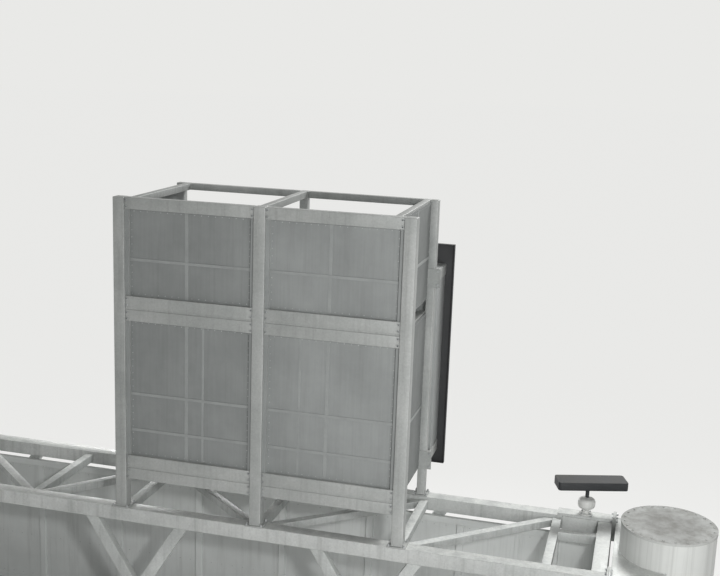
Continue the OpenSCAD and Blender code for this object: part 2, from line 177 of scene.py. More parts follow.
def rib_highlight_paint(t, place, tone):
    """painted highlight: what stands proud of the cladding sheet, its pressed ribs and top rail, is painted
    paler as the light it catches
    """
    y = add(t, "ShaderNodeSeparateXYZ", {0: place}).outputs["Y"]
    proud = add(t, "ShaderNodeMapRange", {"Value": y, "From Min": cladding_face - 0.03,
                                          "From Max": cladding_face - 0.01, "To Min": 0.75, "To Max": 0.0})
    return add(t, "ShaderNodeMix", {"Factor": proud.outputs[0], "A": tone, "B": to_linear(RIB_HIGHLIGHT)},
               data_type="RGBA").outputs["Result"]


column_x = centre("column_right").x
column_y = centre("column_right").y
cladding_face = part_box("far_cladding")[0].y + 0.04

BLOOM_AND_TOP_LIGHT = {"dust": 0.75, "up_face_tone": "#DEE0DC"}      # pale zinc bloom on faces that look up, laid on thickly so that it is also painted light from above
MILL = {"grain": (28, 28, 1.2), "wave": 0.9, "reach": 0.3}      # rolling lines and buckles of mill sheet

# light and dark tone, metallic, roughness, scale of the clouds, and what else shows
finishes = {
    # two-coat satin paint on rolled steel plate: soft sheen, long rain streaks from the lid
    "column_paint": weathered("satin_painted_steel", "#CDCFCC", "#BEC0BD", 0.0, 0.42, 0.5,
                              streak=0.3, peel=0.012, reach=0.12),
    # the same paint on a lid that holds rain and dust: duller, stained in the middle
    "cap_steel": weathered("stained_painted_lid", "#B9BBB8", "#ABADAA", 0.0, 0.6, 1.5, dust=0.5,
                           tint=worn_lid),
    # hot-dip galvanised box section, years old: pale, cloudy, faint crystals, dull shine
    "girder_steel": weathered("galvanised_box_section", "#CBCDCB", "#B3B6B4", 0.25, 0.5, 0.9,
                              cell=0.03, streak=0.3, **BLOOM_AND_TOP_LIGHT),
    # thinner galvanised bars: a shade darker, as they weather faster
    "brace_steel": weathered("galvanised_bar", "#C6C9C7", "#ACAFAD", 0.25, 0.52, 1.2, cell=0.025,
                             streak=0.35, **BLOOM_AND_TOP_LIGHT),
    # galvanised box section of the cage
    "cage_steel": weathered("galvanised_post", "#AFB1AF", "#999C9A", 0.25, 0.48, 1.0, cell=0.025,
                            streak=0.25),
    # mill-finish aluminium sheet: grey, matt, rolling lines, slightly buckled
    "panel_sheet": weathered("mill_finish_sheet", "#9A9D9C", "#888B8A", 0.2, 0.58, 0.7, streak=0.14,
                             **MILL),
    # coated cladding sheet: paler than the cage panels, long run-off marks, and a painted highlight on its
    # proud ribs and rail
    "cladding_sheet": weathered("coated_cladding", "#D3D6D4", "#C3C6C4", 0.1, 0.5, 0.6, streak=0.2,
                                wave=0.7, reach=0.4, tint=rib_highlight_paint),
    # pressure-locked galvanised grating: darker, dirt holds in it
    "deck_grating": weathered("galvanised_grating", "#8B8E8D", "#6F7271", 0.3, 0.55, 1.6, dust=0.4),
    # powder-coated sheet case: even grey, light sheen
    "sign_case": weathered("powder_coated_case", "#A3A6A5", "#949796", 0.0, 0.4, 0.6, streak=0.25,
                           peel=0.006),
    # matt black coated board: swallows light, a little dusty
    "sign_black": weathered("matt_black_coating", "#2E2F30", "#262728", 0.0, 0.7, 1.0, streak=0.1,
                            dust=0.2),
    # white gloss housing
    "detector_white": weathered("white_enamel", "#DDDEDB", "#CFD0CD", 0.0, 0.3, 2.0, streak=0.15),
    # dark moulded plastic, faded by the sun
    "detector_dark": weathered("faded_dark_plastic", "#292B2D", "#222426", 0.0, 0.66, 2.0, streak=0.1,
                               dust=0.25),
}
# bright zinc on bolts: newer and shinier than the sections they hold
zinc = weathered("zinc_plated_fastener", "#BBBEBE", "#9A9D9D", 0.45, 0.4, 9.0, streak=0.1, dust=0.15)
# galvanised tube: as the sections, with a rounder highlight
tube_zinc = weathered("galvanised_tube", "#BDC0BE", "#A2A5A3", 0.3, 0.42, 2.0, cell=0.02, streak=0.2)
# smoked lens of an unlit display element: dark, half matt so that it doesn't sparkle
lens = weathered("smoked_lens", "#242321", "#1B1A19", 0.0, 0.5, 30.0, streak=0.0, dust=0.0)
# black anodised frame of a display module: a little paler than the board round it
module_black = weathered("black_anodised_frame", "#4C4E50", "#404244", 0.25, 0.5, 4.0, streak=0.08,
                         dust=0.2)
# the sheets of the left bay: the same stock, painted a little darker as shade, as the light falls off towards
# the left
left_sheet_painted_shade = weathered("mill_finish_sheet_left_shade", "#919493", "#7F8281", 0.2, 0.58, 0.7, streak=0.15,
                       **MILL)
# the side sheets of the cage: same mill finish, painted darker as shade since they face away from the light,
# and a little rougher
side_sheet_painted_shade = weathered("mill_finish_sheet_side_shade", "#868988", "#767978", 0.2, 0.6, 0.7, streak=0.16,
                       **MILL)
# folded cover strip: the panel metal painted a shade paler, so the joints read as thin pale lines
strip = weathered("bright_cover_strip", "#9C9F9E", "#8F9291", 0.3, 0.47, 3.0, streak=0.1)
# weld metal under zinc: uneven and a little brighter than the plate beside it
weld = weathered("galvanised_weld", "#C6C8C6", "#A3A6A4", 0.35, 0.45, 30.0, streak=0.1)
# dark rubber seal
seal = weathered("black_rubber_seal", "#2C2D2E", "#222324", 0.0, 0.75, 6.0, streak=0.1, dust=0.3)

for part in frame["record"]["subparts"]:
    ob = nodes[part["node"]]
    ob.data.materials.clear()
    ob.data.materials.append(finishes[part["material_slot"]])
    for face in ob.data.polygons:
        face.material_index = 0
# the cage's side sheets and the left bay's sheets take the copies painted darker as shade
for name, finish in (("side_sheets_left", side_sheet_painted_shade), ("side_sheets_right", side_sheet_painted_shade),
                     ("upper_panel_left", left_sheet_painted_shade), ("lower_panel_left", left_sheet_painted_shade)):
    nodes[name].data.materials[0] = finish


# making of meshes

CREASE, SOFT_CREASE = 0.6, 0.7      # radians between two faces from which their edge stays sharp


def put(name, data):
    """an object with this mesh, lamp or camera in the scene"""
    ob = bpy.data.objects.new(name, data)
    collection.objects.link(ob)
    return ob


def mesh_from(bm, name, finish):
    """ends the editing of a mesh and gives it its finish"""
    mesh = bpy.data.meshes.new(name)
    bm.to_mesh(mesh)
    bm.free()
    mesh.materials.append(finish)
    return mesh


def carried(mesh):
    """a finished mesh as a piece that rides on the part"""
    piece = put(mesh.name, mesh)
    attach(piece, "root")
    return piece


def plain(ob, crease, place=None):
    """makes what an object's modifiers give its own plain mesh; it rides on the part"""
    made = bpy.data.meshes.new_from_object(ob.evaluated_get(bpy.context.evaluated_depsgraph_get()))
    ob.modifiers.clear()
    ob.data = made
    made.name = ob.name
    if place:
        made.transform(place)
    made.shade_smooth()
    made.set_sharp_from_angle(angle=crease)
    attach(ob, "root")
    return ob


def grow(name, tree, finish, source=None, place=None, **values):
    """runs a geometry tree on a mesh"""
    ob = put(name, source or bpy.data.meshes.new(name))
    step = ob.modifiers.new("make", "NODES")
    step.node_group = tree
    values["Finish"] = finish
    for socket in tree.interface.items_tree:
        if socket.item_type == "SOCKET" and socket.in_out == "INPUT" and socket.name in values:
            step[socket.identifier] = values[socket.name]
    return plain(ob, CREASE, place)


def points_mesh(name, points):
    """points as vertices, each with the direction its bolt faces"""
    mesh = bpy.data.meshes.new(name)
    mesh.from_pydata([p for p, _ in points], [], [])
    facing = mesh.attributes.new("facing", "FLOAT_VECTOR", "POINT")
    facing.data.foreach_set("vector", [c for _, d in points for c in d])
    return mesh


def lines_mesh(name, runs):
    """polylines as loose edges"""
    mesh = bpy.data.meshes.new(name)
    verts, edges = [], []
    for run in runs:
        start = len(verts)
        verts += run
        edges += [(start + i, start + i + 1) for i in range(len(run) - 1)]
    mesh.from_pydata(verts, edges, [])
    return mesh


# geometry trees

def geometry_tree(name, **inputs):
    """an empty geometry tree with named inputs; gives the tree and its input sockets"""
    t = bpy.data.node_groups.new(name, "GeometryNodeTree")
    t.interface.new_socket("Geometry", in_out="INPUT", socket_type="NodeSocketGeometry")
    for key, value in inputs.items():
        kind = ("NodeSocketVector" if isinstance(value, tuple) else
                "NodeSocketInt" if isinstance(value, int) else "NodeSocketFloat")
        t.interface.new_socket(key, in_out="INPUT", socket_type=kind).default_value = value
    t.interface.new_socket("Finish", in_out="INPUT", socket_type="NodeSocketMaterial")
    t.interface.new_socket("Geometry", in_out="OUTPUT", socket_type="NodeSocketGeometry")
    return t, add(t, "NodeGroupInput").outputs


def close(t, shape, given):
    """ends a tree: instances made real, then the finish"""
    real = add(t, "GeometryNodeRealizeInstances", {0: shape})
    painted = add(t, "GeometryNodeSetMaterial", {"Geometry": real.outputs[0], "Material": given["Finish"]})
    add(t, "NodeGroupOutput", {0: painted.outputs[0]})
    return t


def bolt_tree():
    """a hexagon head on a washer with the end of its stud, each turned at random"""
    t, given = geometry_tree("bolt_set", Across=0.046, Head=0.02, Washer=0.06, Stud=0.03, Seed=3)
    washer_thick, corner, stud_share = 0.012, 0.577, 0.32      # the last two: radii over width across flats
    radius = add(t, "ShaderNodeMath", {0: given["Across"], 1: corner}, operation="MULTIPLY")
    hexagon = add(t, "GeometryNodeMeshCylinder",
                  {"Vertices": 6, "Radius": radius.outputs[0], "Depth": given["Head"]})
    half = add(t, "ShaderNodeMath", {0: given["Head"], 1: 0.5, 2: washer_thick / 2}, operation="MULTIPLY_ADD")
    lift = add(t, "ShaderNodeCombineXYZ", {"Z": half.outputs[0]})
    head = add(t, "GeometryNodeTransform",
               {"Geometry": hexagon.outputs["Mesh"], "Translation": lift.outputs[0]})
    reach = add(t, "ShaderNodeMath", {0: given["Washer"], 1: 0.5}, operation="MULTIPLY")
    ring = add(t, "GeometryNodeMeshCylinder",
               {"Vertices": 16, "Radius": reach.outputs[0], "Depth": washer_thick})
    thin = add(t, "ShaderNodeMath", {0: given["Across"], 1: stud_share}, operation="MULTIPLY")
    length = add(t, "ShaderNodeMath", {0: given["Head"], 1: given["Stud"]}, operation="ADD")
    rod = add(t, "GeometryNodeMeshCylinder",
              {"Vertices": 10, "Radius": thin.outputs[0], "Depth": length.outputs[0]})
    middle = add(t, "ShaderNodeMath", {0: length.outputs[0], 1: 0.5}, operation="MULTIPLY")
    raised = add(t, "ShaderNodeCombineXYZ", {"Z": middle.outputs[0]})
    stud = add(t, "GeometryNodeTransform",
               {"Geometry": rod.outputs["Mesh"], "Translation": raised.outputs[0]})
    bolt = add(t, "GeometryNodeJoinGeometry")
    for piece in (head, ring, stud):
        t.links.new(piece.outputs[0], bolt.inputs[0])
    facing = add(t, "GeometryNodeInputNamedAttribute", {"Name": "facing"}, data_type="FLOAT_VECTOR")
    stand = add(t, "FunctionNodeAlignRotationToVector", {"Vector": facing.outputs[0]}, axis="Z")
    turn = add(t, "FunctionNodeRandomValue",
               {0: (0, 0, 0), 1: (0, 0, 6.28), "Seed": given["Seed"]}, data_type="FLOAT_VECTOR")
    spin = add(t, "FunctionNodeEulerToRotation", {0: turn.outputs[0]})
    turned_bolt = add(t, "FunctionNodeRotateRotation",
                      {0: stand.outputs[0], 1: spin.outputs[0]}, rotation_space="LOCAL")
    placed = add(t, "GeometryNodeInstanceOnPoints", {"Points": given["Geometry"], "Instance": bolt.outputs[0],
                                                     "Rotation": turned_bolt.outputs[0]})
    return close(t, placed.outputs[0], given)


def rivet_tree():
    """domed rivets at even steps along lines"""
    t, given = geometry_tree("rivet_line", Pitch=0.15, Width=0.02, Rise=0.006, Facing=(0.0, -1.0, 0.0))
    path = add(t, "GeometryNodeMeshToCurve", {0: given["Geometry"]})
    even = add(t, "GeometryNodeResampleCurve",
               {"Curve": path.outputs[0], "Length": given["Pitch"]}, mode="LENGTH")
    dome = add(t, "GeometryNodeMeshUVSphere", {"Segments": 8, "Rings": 5, "Radius": 0.5})
    size = add(t, "ShaderNodeCombineXYZ", {"X": given["Width"], "Y": given["Width"], "Z": given["Rise"]})
    stand = add(t, "FunctionNodeAlignRotationToVector", {"Vector": given["Facing"]}, axis="Z")
    placed = add(t, "GeometryNodeInstanceOnPoints", {"Points": even.outputs[0], "Instance": dome.outputs[0],
                                                     "Rotation": stand.outputs[0], "Scale": size.outputs[0]})
    return close(t, placed.outputs[0], given)


def pipe_tree():
    """round bars along lines"""
    t, given = geometry_tree("pipe_run", Radius=0.024, Sides=12)
    path = add(t, "GeometryNodeMeshToCurve", {0: given["Geometry"]})
    ring = add(t, "GeometryNodeCurvePrimitiveCircle",
               {"Resolution": given["Sides"], "Radius": given["Radius"]})
    pipe = add(t, "GeometryNodeCurveToMesh",
               {"Curve": path.outputs[0], "Profile Curve": ring.outputs[0], "Fill Caps": True})
    return close(t, pipe.outputs[0], given)


def grating_tree():
    """bearing bars along Y every pitch along X, and thin rods across them near their top"""
    t, given = geometry_tree("grating", Length=11.6, Width=2.0, Depth=0.04, Pitch=0.04, Bar=0.006, Rods=0.1)
    shapes = []
    for along, pitch in ((True, given["Pitch"]), (False, given["Rods"])):
        span = given["Length"] if along else given["Width"]
        count = add(t, "ShaderNodeMath", {0: span, 1: pitch}, operation="DIVIDE")
        count = add(t, "ShaderNodeMath", {0: count.outputs[0]}, operation="FLOOR")
        start = add(t, "ShaderNodeMath", {0: count.outputs[0], 1: pitch}, operation="MULTIPLY")
        start = add(t, "ShaderNodeMath", {0: start.outputs[0], 1: -0.5}, operation="MULTIPLY")
        axis = "X" if along else "Y"
        first = add(t, "ShaderNodeCombineXYZ", {axis: start.outputs[0]})
        offset = add(t, "ShaderNodeCombineXYZ", {axis: pitch})
        total = add(t, "ShaderNodeMath", {0: count.outputs[0], 1: 1.0}, operation="ADD")
        line = add(t, "GeometryNodeMeshLine", {"Count": total.outputs[0], "Start Location": first.outputs[0],
                                               "Offset": offset.outputs[0]})
        size = add(t, "ShaderNodeCombineXYZ", {"X": given["Bar"] if along else given["Length"],
                                               "Y": given["Width"] if along else given["Bar"],
                                               "Z": given["Depth"] if along else given["Bar"]})
        bar = add(t, "GeometryNodeMeshCube", {"Size": size.outputs[0]})
        placed = add(t, "GeometryNodeInstanceOnPoints",
                     {"Points": line.outputs[0], "Instance": bar.outputs["Mesh"]})
        if not along:
            top = add(t, "ShaderNodeMath", {0: given["Depth"], 1: 0.45}, operation="MULTIPLY")
            rise = add(t, "ShaderNodeCombineXYZ", {"Z": top.outputs[0]})
            placed = add(t, "GeometryNodeTransform",
                         {"Geometry": placed.outputs[0], "Translation": rise.outputs[0]})
        shapes.append(placed)
    whole = add(t, "GeometryNodeJoinGeometry")
    for piece in shapes:
        t.links.new(piece.outputs[0], whole.inputs[0])
    return close(t, whole.outputs[0], given)


def column_tree():
    """a column tube with a weld bead round it at each course"""
    t, given = geometry_tree("column_tube", Radius=0.775, Height=9.7, Course=2.4, Bead=0.012, Sides=96)
    half = add(t, "ShaderNodeMath", {0: given["Height"], 1: 0.5}, operation="MULTIPLY")
    rise = add(t, "ShaderNodeCombineXYZ", {"Z": half.outputs[0]})
    shell = add(t, "GeometryNodeMeshCylinder",
                {"Vertices": given["Sides"], "Radius": given["Radius"], "Depth": given["Height"]})
    shell = add(t, "GeometryNodeTransform",
                {"Geometry": shell.outputs["Mesh"], "Translation": rise.outputs[0]})
    count = add(t, "ShaderNodeMath", {0: given["Height"], 1: given["Course"]}, operation="DIVIDE")
    count = add(t, "ShaderNodeMath", {0: count.outputs[0]}, operation="FLOOR")
    step = add(t, "ShaderNodeCombineXYZ", {"Z": given["Course"]})
    seams = add(t, "GeometryNodeMeshLine",
                {"Count": count.outputs[0], "Start Location": step.outputs[0], "Offset": step.outputs[0]})
    hoop = add(t, "GeometryNodeCurvePrimitiveCircle",
               {"Resolution": given["Sides"], "Radius": given["Radius"]})
    bead = add(t, "GeometryNodeCurvePrimitiveCircle", {"Resolution": 6, "Radius": given["Bead"]})
    seam = add(t, "GeometryNodeCurveToMesh", {"Curve": hoop.outputs[0], "Profile Curve": bead.outputs[0]})
    hoops = add(t, "GeometryNodeInstanceOnPoints", {"Points": seams.outputs[0], "Instance": seam.outputs[0]})
    whole = add(t, "GeometryNodeJoinGeometry")
    for piece in (shell, hoops):
        t.links.new(piece.outputs[0], whole.inputs[0])
    both = add(t, "GeometryNodeInstanceOnPoints", {"Points": given["Geometry"], "Instance": whole.outputs[0]})
    return close(t, both.outputs[0], given)


def matrix_tree():
    """a grid of short hooded lenses"""
    t, given = geometry_tree("display_matrix", Across=4.6, Tall=3.2, Columns=56, Rows=40, Width=0.04,
                             Hood=0.012)
    grid = add(t, "GeometryNodeMeshGrid", {"Size X": given["Across"], "Size Y": given["Tall"],
                                           "Vertices X": given["Columns"], "Vertices Y": given["Rows"]})
    radius = add(t, "ShaderNodeMath", {0: given["Width"], 1: 0.5}, operation="MULTIPLY")
    cup = add(t, "GeometryNodeMeshCone", {"Vertices": 8, "Radius Bottom": radius.outputs[0],
                                          "Radius Top": 0.008, "Depth": given["Hood"]})
    placed = add(t, "GeometryNodeInstanceOnPoints",
                 {"Points": grid.outputs["Mesh"], "Instance": cup.outputs["Mesh"]})
    return close(t, placed.outputs[0], given)


bolts, rivets, pipes = bolt_tree(), rivet_tree(), pipe_tree()


# kinds of piece

def bolted(name, points, across, head, washer, stud, finish=zinc):
    """hexagon bolts at (place, direction) points: across the flats, height of head, washer, end of stud"""
    piece = grow(name, bolts, finish, points_mesh(name + "_points", points), Across=across, Head=head,
                 Washer=washer, Stud=stud)


def riveted(name, runs, facing, pitch=0.12, width=0.018, rise=0.01):
    """rivets along polylines: distance, width and height of the domes"""
    piece = grow(name, rivets, zinc, lines_mesh(name + "_lines", runs), Pitch=pitch, Width=width, Rise=rise,
                 Facing=facing)


def piped(name, finish, runs, radius=0.008, sides=6):
    """tubes along polylines; as thin as the default they are weld beads"""
    piece = grow(name, pipes, finish, lines_mesh(name + "_lines", runs), Radius=radius, Sides=sides)
    return piece


def boxes(name, slot, parts, bevel=0.003, finish=None):
    """plates and strips as one mesh with broken edges"""
    bm = bmesh.new()
    for low, high in parts:
        size = [h - l for l, h in zip(low, high)]
        spot = Matrix.Translation([(h + l) / 2 for l, h in zip(low, high)]) @ Matrix.Diagonal((*size, 1))
        made = bmesh.ops.create_cube(bm, size=1, matrix=spot)
        edges = list({e for v in made["verts"] for e in v.link_edges})
        bmesh.ops.bevel(bm, geom=edges, offset=min(bevel, min(size) * 0.3), segments=1, affect="EDGES")
    carried(mesh_from(bm, name, finish or finishes[slot]))


def eased(node_name, radius, steps=3):
    """the solid with its section corners rounded, as a cold-formed tube has them; it stands for the solid"""
    bm = bmesh.new()
    bm.from_mesh(nodes[node_name].data)
    bmesh.ops.remove_doubles(bm, verts=bm.verts, dist=1e-5)
    bmesh.ops.dissolve_limit(bm, angle_limit=0.01, verts=bm.verts, edges=bm.edges)
    name = node_name + "_eased"
    ob = put(name, mesh_from(bm, name, nodes[node_name].data.materials[0]))
    soft = ob.modifiers.new("ease", "BEVEL")
    soft.width = radius
    soft.segments = steps
    soft.limit_method = "ANGLE"
    soft.angle_limit = 0.5
    soft.harden_normals = False
    plain(ob, SOFT_CREASE)
    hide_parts(node_name)


def turned(name, slot, at, profile):
    """a closed form turned about the vertical through at; profile is (radius, height), from axis to axis"""
    bm = bmesh.new()
    line = [bm.verts.new((at[0] + r, at[1], at[2] + h)) for r, h in profile]
    edges = [bm.edges.new(pair) for pair in zip(line, line[1:])]
    bmesh.ops.spin(bm, geom=line + edges, cent=at, axis=(0, 0, 1), angle=math.tau, steps=40,
                   use_merge=True)
    bmesh.ops.remove_doubles(bm, verts=bm.verts, dist=1e-5)
    bmesh.ops.recalc_face_normals(bm, faces=bm.faces)
    mesh = mesh_from(bm, name, finishes[slot])
    mesh.shade_smooth()
    mesh.set_sharp_from_angle(angle=CREASE)
    return carried(mesh)


def on_circle(count, reach, z, first=0.0):
    """bolt points that look up, on a circle round each column; first is a share of a step"""
    spots = []
    for s in (1, -1):
        for i in range(count):
            a = (i + first) * math.tau / count
            spots.append(((s * column_x + math.cos(a) * reach, column_y + math.sin(a) * reach, z), (0, 0, 1)))
    return spots


def edge_run(low, high, inset):
    """a closed run inside the edge of a rectangle, as pairs in its plane"""
    a, b, c, d = low[0] + inset, low[1] + inset, high[0] - inset, high[1] - inset
    return [(a, b), (c, b), (c, d), (a, d), (a, b)]


ROWS, SIDES, SPOTS = ("near", "far"), ("left", "right"), ("left", "mid", "right")
near_posts, far_posts = ([f"{row}_post_{spot}" for spot in SPOTS] for row in ROWS)
cage_posts = near_posts + far_posts
SQUARE = ((-1, -1), (1, -1), (1, 1), (-1, 1), (-1, -1))      # corners of a closed run

# columns and lids

low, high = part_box("column_right")
radius = (high.x - low.x) / 2
feet = points_mesh("column_feet", [((s * column_x, column_y, low.z), (0, 0, 1)) for s in (1, -1)])
tubes = grow("column_tubes", column_tree(), finishes["column_paint"], feet, Radius=radius,
             Height=high.z - low.z, Course=2.6, Bead=0.007)
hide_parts("column_right", "column_left")

# the lid bolts are sunk so that the overall height stays
LID_BOLTS, LID_EDGE, LID_SUNK = 24, 0.05, 0.004
bolted("lid_bolts",
       on_circle(LID_BOLTS, radius - LID_EDGE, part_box("cap_right")[1].z - LID_SUNK, 0.5),
       across=0.036, head=0.014, washer=0.05, stud=0.0, finish=finishes["cap_steel"])

# anchor nuts stand on the base plates on the pitch circle of the holes
ANCHORS, PITCH_CIRCLE, PLATE_TOP = 12, 0.98, 0.07
bolted("anchor_nuts", on_circle(ANCHORS, PITCH_CIRCLE, PLATE_TOP),
       across=0.085, head=0.05, washer=0.12, stud=0.06)

# girder

near_y, far_y = centre("near_top_chord").y, centre("far_top_chord").y
low_z, top_z = centre("near_low_chord").z, centre("near_top_chord").z
girder_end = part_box("near_top_chord")[1].x
CHORD, FLANGE = 0.125, 0.03      # half a chord's section, thickness of a flange

# bolts through both flanges of each chord's end, except where the crosshead's web stands
BOLT_AT, WEB_REACH = 0.16, 1.26
flange_bolts = []
for s in (1, -1):
    for y in (near_y, far_y):
        for z in (low_z, top_z):
            for dy in (-BOLT_AT, 0, BOLT_AT):
                for dz in (-BOLT_AT, 0, BOLT_AT):
                    if dy or dz:
                        flange_bolts.append(((s * (girder_end - FLANGE), y + dy, z + dz), (-s, 0, 0)))
                    if (dy or dz) and (dz or abs(y + dy - (near_y + far_y) / 2) > WEB_REACH):
                        flange_bolts.append(((s * (girder_end + FLANGE), y + dy, z + dz), (s, 0, 0)))
bolted("girder_flange_bolts", flange_bolts,
       across=0.036, head=0.018, washer=0.052, stud=0.014)

chords = [f"{row}_{level}_chord" for level in ("top", "low") for row in ROWS]
for name in chords + [f"end_frame_{side}" for side in SIDES]:
    eased(name, radius=0.012)
for name in ("upper_crosshead", "lower_crosshead", "base"):
    for side in SIDES:
        eased(f"{name}_{side}", radius=0.004, steps=2)
for row in ROWS:
    for spot in SPOTS:
        eased(f"{row}_brace_{spot}", radius=0.01)
for name in ("top_bracing", "floor_bracing"):
    eased(name, radius=0.008)

# fillet welds round the ends of the crossed braces, the feet of the cage posts and the chord flanges
BRACE, BRACE_THICK, SPREAD, FOOT_EDGE, FOOT_TOP = 0.2, 0.15, 0.94, 0.06, 0.025
lean = (top_z - low_z) / (2 * SPREAD)
half = BRACE / 2 * math.sqrt(1 + 1 / lean ** 2)
beads = []
for spot in SPOTS:
    for row, y in (("near", near_y), ("far", far_y)):
        x = centre(f"{row}_brace_{spot}").x
        for s in (-1, 1):
            for z in (low_z + CHORD, top_z - CHORD):
                beads.append([(x + s * (SPREAD - CHORD / lean) + i * half, y + j * BRACE_THICK / 2, z)
                              for i, j in SQUARE])
for name in cage_posts:
    c, (lo, hi) = centre(name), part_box(name)
    wide = (hi.x - lo.x) / 2 - FOOT_EDGE
    beads.append([(c.x + i * wide, c.y + j * wide, lo.z + FOOT_TOP) for i, j in SQUARE])
for s in (-1, 1):
    for y in (near_y, far_y):
        for z in (low_z, top_z):
            beads.append([(s * (girder_end - FLANGE), y + i * CHORD, z + j * CHORD) for i, j in SQUARE])
piped("girder_welds", weld, beads)


def arc_run(s, z, start, turn, steps=48):
    """a level run on the face of a column tube; start and turn are angles, 0 looks to the girder"""
    angles = [start + turn * i / steps for i in range(steps + 1)]
    return [(s * (column_x - radius * math.cos(a)), column_y + radius * math.sin(a), z) for a in angles]


# welds on the columns: round the foot, along the fins, and where the crosshead plates are scribed to the tube
FINS, FIN_HALF, FIN_TOP, FIN_END, PLATE, WEB_HALF = 12, 0.012, 0.39, 1.105, 0.025, 0.02
column_beads = []
for s in (1, -1):
    column_beads.append(arc_run(s, PLATE_TOP, 0, math.tau, 96))
    for i in range(FINS):
        a = (i + 0.5) * math.tau / FINS
        along, aside = Vector((math.cos(a), math.sin(a), 0)), Vector((-math.sin(a), math.cos(a), 0))
        for side in (-1, 1):
            root = Vector((s * column_x, column_y, PLATE_TOP)) + along * radius + aside * side * FIN_HALF
            column_beads.append([tuple(root + Vector((0, 0, FIN_TOP - PLATE_TOP))), tuple(root),
                                 tuple(root + along * (FIN_END - radius))])
    for z in (low_z, top_z):
        for dz in (-CHORD, -CHORD + PLATE, CHORD - PLATE, CHORD):
            column_beads.append(arc_run(s, z + dz, -math.pi / 2, math.pi))
        for y in (column_y - WEB_HALF, column_y + WEB_HALF):
            x = s * (column_x - radius)
            column_beads.append([(x, y, z - CHORD + PLATE), (x, y, z + CHORD - PLATE)])
piped("column_welds", weld, column_beads)

# open grating deck with its edge bars
BAR, BAYS = 0.01, 10      # thickness of the edge and cross bars, bays between them
deck_low, deck_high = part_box("deck")
size = deck_high - deck_low
grating = grow("deck_grating", grating_tree(), finishes["deck_grating"],
               place=Matrix.Translation((deck_low + deck_high) / 2), Length=size.x - 2 * BAR,
               Width=size.y - 2 * BAR, Depth=size.z - 0.006, Pitch=0.04, Bar=0.006, Rods=0.1)
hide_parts("deck")
edges = [((deck_low.x, y, deck_low.z), (deck_high.x, y + BAR, deck_high.z))
         for y in (deck_low.y, deck_high.y - BAR)]
for i in range(BAYS + 1):
    x = min(max(deck_low.x + i * size.x / BAYS, deck_low.x + BAR / 2), deck_high.x - BAR / 2)
    edges.append(((x - BAR / 2, deck_low.y, deck_low.z), (x + BAR / 2, deck_high.y, deck_high.z)))
boxes("deck_edge_bars", "deck_grating", edges)

# tubular guard rail on the near side, with clamps at its joints and a toe board
TUBE, GUARD_POSTS, MID_RAIL = 0.025, 9, 0.55     # half a tube's room, number of posts, foot of the mid rail
CLAMP_OUT, CLAMP_DOWN, SLEEVE_TOP = 0.045, 0.075, 0.07
FOOT, FOOT_HALF, TOE_TALL = 0.012, 0.06, 0.15      # thickness and half width of a foot, height of the board
g_low, g_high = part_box("near_guard")
gy = (g_low.y + g_high.y) / 2
levels = (g_high.z - TUBE, g_low.z + MID_RAIL + TUBE)
step = (g_high.x - g_low.x - 2 * TUBE) / (GUARD_POSTS - 1)
post_xs = [g_low.x + TUBE + k * step for k in range(GUARD_POSTS)]
tube_runs = [[(g_low.x, gy, z), (g_high.x, gy, z)] for z in levels]
tube_runs += [[(x, gy, g_low.z), (x, gy, levels[0])] for x in post_xs]
guard = piped("guard_rail_tubes", tube_zinc, tube_runs, radius=0.024, sides=14)
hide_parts("near_guard")
sleeves = []
for x in post_xs:
    for z in levels:
        sleeves += [[(max(x - CLAMP_OUT, g_low.x), gy, z), (min(x + CLAMP_OUT, g_high.x), gy, z)],
                    [(x, gy, z - CLAMP_DOWN), (x, gy, z)]]
    sleeves.append([(x, gy, g_low.z + FOOT), (x, gy, g_low.z + SLEEVE_TOP)])
piped("guard_rail_clamps", zinc, sleeves, radius=0.03, sides=14)
boxes("guard_toe_board", "brace_steel",
      [((g_low.x, g_low.y, g_low.z), (g_high.x, g_low.y + FOOT, g_low.z + TOE_TALL))]
      + [((x - FOOT_HALF, g_low.y, g_low.z), (x + FOOT_HALF, g_high.y, g_low.z + FOOT)) for x in post_xs])

# the far cladding at its full height: ribbed sheet from the deck to just under the top chord, with a top rail
c_low, c_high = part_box("far_cladding")
face = cladding_face
WALL_TOP, RAIL_DEEP, SKIRT, THICK = 0.30, 0.12, 0.12, 0.02      # below the girder's top; rail, foot, sheet
RIB_START, RIB_PITCH, RIB_WIDE, RIB_DEEP, SLOPE = 0.85, 1.72, 0.15, 0.04, 0.02
WALL_END = 0.155      # from the girder's end to the wall's
wall_top = top_z + CHORD - WALL_TOP
first_rib = girder_end - WALL_END - RIB_START
front = [(c_high.x, face)]
for k in range(10):
    x = first_rib - k * RIB_PITCH
    if x > c_low.x + RIB_WIDE:
        front += [(x + RIB_WIDE / 2, face), (x + RIB_WIDE / 2 - SLOPE, face - RIB_DEEP),
                  (x - RIB_WIDE / 2 + SLOPE, face - RIB_DEEP), (x - RIB_WIDE / 2, face)]
front += [(c_low.x, face), (c_low.x, face + THICK), (c_high.x, face + THICK)]
bm = bmesh.new()
bottom = bm.faces.new([bm.verts.new((x, y, c_low.z)) for x, y in front])
grown = bmesh.ops.extrude_face_region(bm, geom=[bottom])
bmesh.ops.translate(bm, vec=(0, 0, wall_top - RAIL_DEEP - c_low.z),
                    verts=[v for v in grown["geom"] if isinstance(v, bmesh.types.BMVert)])
bmesh.ops.recalc_face_normals(bm, faces=bm.faces)
wall = carried(mesh_from(bm, "cladding_wall", finishes["cladding_sheet"]))
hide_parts("far_cladding")

